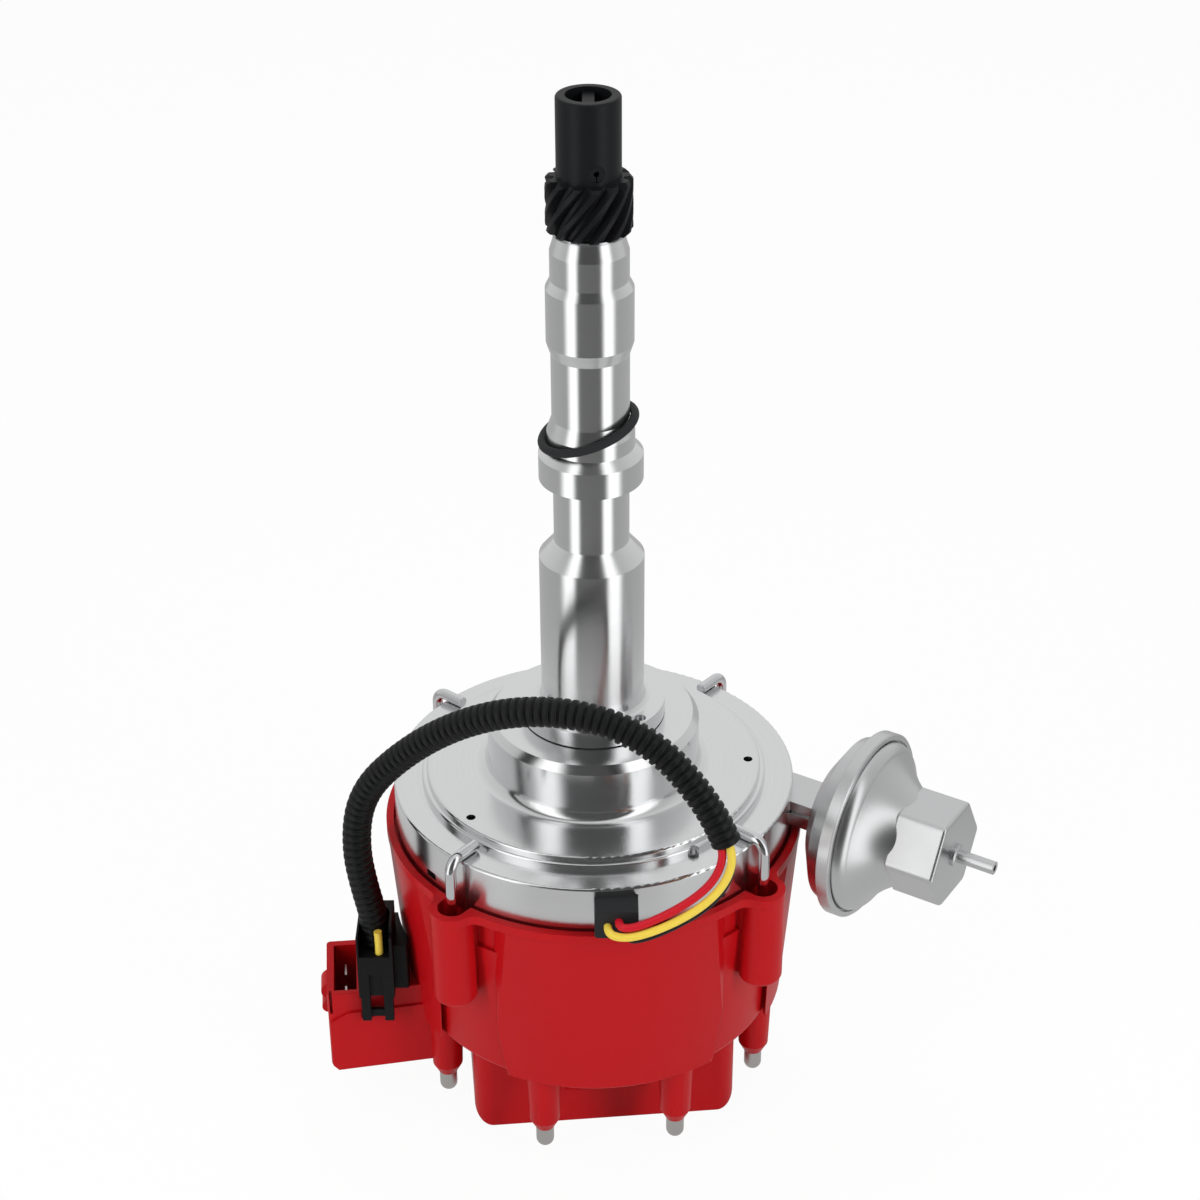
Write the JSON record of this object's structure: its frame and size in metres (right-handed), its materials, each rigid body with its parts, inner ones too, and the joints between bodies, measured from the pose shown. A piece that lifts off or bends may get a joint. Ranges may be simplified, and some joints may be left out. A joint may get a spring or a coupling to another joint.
{
  "type": "ignition distributor",
  "caption": "Ignition distributor with long turned stem, helical drive gear, stepped metal bowl, red cap with outlet towers, coil cover, side vacuum canister and looped harness",
  "frame": {"origin": "on the shaft's axis at the seat face of the hub ring", "axes": "+Z along the shaft towards the drive gear, -Y the front with the wires, +X the canister side"},
  "size_m": [0.2345, 0.1582, 0.3714],
  "materials": {
    "machined_aluminium": "satin turned",
    "bronze": "oil-soaked bronze",
    "black_steel": "black oxide",
    "steel": "ground",
    "spring_steel": "drawn",
    "chrome": "bright",
    "canister_metal": "satin, fine grain",
    "red_moulding": "satin moulding",
    "black_moulding": "moulded",
    "corrugated_black": "corrugated",
    "rubber": "matte",
    "wire_red": "insulation",
    "wire_yellow": "insulation",
    "wire_black": "insulation",
    "outlet_metal": "brushed",
    "contact_brass": "plain",
    "magnet": "sintered",
    "iron": "laminated",
    "potting": "potted"
  },
  "bodies": {
    "housing": {"bowl": "machined_aluminium", "stem": "machined_aluminium", "gear_end_bush": "bronze", "bowl_end_bush": "bronze", "hub_gasket": "rubber", "stem_screws": "steel", "seal_ring": "rubber", "canister_rear": "canister_metal", "canister_front": "canister_metal", "vacuum_nipple": "canister_metal", "diaphragm": "rubber", "vacuum_spring": "spring_steel", "canister_bracket": "canister_metal", "bowl_screws": "steel", "ignition_module": "black_moulding", "capacitor": "canister_metal", "wire_grommet": "rubber", "wire_yellow": "wire_yellow", "wire_red": "wire_red", "wire_black": "wire_black", "conduit": "corrugated_black", "harness_plug": "black_moulding", "distributor_cap": "red_moulding", "outlet_terminals": "outlet_metal", "button_spring": "spring_steel", "arc_seal": "rubber", "coil_core": "iron", "coil_winding": "potting", "coil_cover": "red_moulding", "cap_screws": "steel", "connector_blades": "outlet_metal"},
    "shaft": {"main_shaft": "steel", "drive_gear": "black_steel", "roll_pin": "steel", "thrust_washer": "steel", "advance_cam": "steel", "advance_spring_a": "spring_steel", "advance_spring_b": "spring_steel"},
    "advance": {"timer_core": "steel", "weight_base": "steel", "rotor": "black_moulding", "rotor_contact": "contact_brass", "rotor_screws": "steel"},
    "weight_a": {"advance_weight_a": "steel"},
    "weight_b": {"advance_weight_b": "steel"},
    "pickup": {"pickup_plate": "steel", "pickup_coil": "potting", "pickup_magnet": "magnet", "pole_piece": "steel"},
    "vacuum_link": {"vacuum_rod": "steel"},
    "button": {"carbon_button": "magnet"},
    "latch_press_1": {"latch_spring_1": "spring_steel"},
    "latch_1": {"latch_rod_1": "chrome"},
    "latch_press_2": {"latch_spring_2": "spring_steel"},
    "latch_2": {"latch_rod_2": "chrome"},
    "latch_press_3": {"latch_spring_3": "spring_steel"},
    "latch_3": {"latch_rod_3": "chrome"},
    "latch_press_4": {"latch_spring_4": "spring_steel"},
    "latch_4": {"latch_rod_4": "chrome"}
  },
  "joints": [
    {"name": "shaft_spin", "type": "hinge", "parent": "housing", "child": "shaft", "pos_m": [0, 0, 0], "axis": [0, 0, 1], "continuous": true},
    {"name": "advance_turn", "type": "hinge", "parent": "shaft", "child": "advance", "pos_m": [0, 0, -0.05], "axis": [0, 0, 1], "range_deg": [0, 11], "stiffness_Nm_per_rad": 0.2, "springref_deg": -2.86, "deforming": ["advance_spring_a", "advance_spring_b"]},
    {"name": "weight_a_swing", "type": "hinge", "parent": "advance", "child": "weight_a", "pos_m": [0.02666, 0.00856, -0.06], "axis": [0, 0, 1], "range_deg": [-20.5, 0]},
    {"name": "weight_b_swing", "type": "hinge", "parent": "advance", "child": "weight_b", "pos_m": [-0.02666, -0.00856, -0.06], "axis": [0, 0, 1], "range_deg": [-20.5, 0]},
    {"name": "pickup_turn", "type": "hinge", "parent": "housing", "child": "pickup", "pos_m": [0, 0, -0.038], "axis": [0, 0, 1], "range_deg": [-10, 0], "stiffness_Nm_per_rad": 1, "springref_deg": 2.86},
    {"name": "vacuum_pull", "type": "slide", "parent": "housing", "child": "vacuum_link", "axis": [0.8462, -0.5329, 0], "range_m": [0, 0.0056], "deforming": ["vacuum_spring", "diaphragm"]},
    {"name": "button_press", "type": "slide", "parent": "housing", "child": "button", "axis": [0, 0, 1], "range_m": [-0.0015, 0], "stiffness_N_per_m": 300, "springref_m": 0.002, "deforming": ["button_spring"]},
    {"name": "latch_press_1", "type": "slide", "parent": "housing", "child": "latch_press_1", "axis": [0, 0, 1], "range_m": [0, 0.003], "stiffness_N_per_m": 1500, "springref_m": -0.002, "deforming": ["latch_spring_1"]},
    {"name": "latch_turn_1", "type": "hinge", "parent": "latch_press_1", "child": "latch_1", "pos_m": [0.05709, -0.0474, -0.06], "axis": [0, 0, 1], "range_deg": [0, 180]},
    {"name": "latch_press_2", "type": "slide", "parent": "housing", "child": "latch_press_2", "axis": [0, 0, 1], "range_m": [0, 0.003], "stiffness_N_per_m": 1500, "springref_m": -0.002, "deforming": ["latch_spring_2"]},
    {"name": "latch_turn_2", "type": "hinge", "parent": "latch_press_2", "child": "latch_2", "pos_m": [0.0474, 0.05709, -0.06], "axis": [0, 0, 1], "range_deg": [0, 180]},
    {"name": "latch_press_3", "type": "slide", "parent": "housing", "child": "latch_press_3", "axis": [0, 0, 1], "range_m": [0, 0.003], "stiffness_N_per_m": 1500, "springref_m": -0.002, "deforming": ["latch_spring_3"]},
    {"name": "latch_turn_3", "type": "hinge", "parent": "latch_press_3", "child": "latch_3", "pos_m": [-0.05709, 0.0474, -0.06], "axis": [0, 0, 1], "range_deg": [0, 180]},
    {"name": "latch_press_4", "type": "slide", "parent": "housing", "child": "latch_press_4", "axis": [0, 0, 1], "range_m": [0, 0.003], "stiffness_N_per_m": 1500, "springref_m": -0.002, "deforming": ["latch_spring_4"]},
    {"name": "latch_turn_4", "type": "hinge", "parent": "latch_press_4", "child": "latch_4", "pos_m": [-0.0474, -0.05709, -0.06], "axis": [0, 0, 1], "range_deg": [0, 180]}
  ],
  "couplings": [
    {"joint": "weight_a_swing", "follows": "advance_turn", "ratio": -1.8181},
    {"joint": "weight_b_swing", "follows": "advance_turn", "ratio": -1.8181},
    {"joint": "vacuum_pull", "follows": "pickup_turn", "m_per_rad": -0.0317}
  ]
}
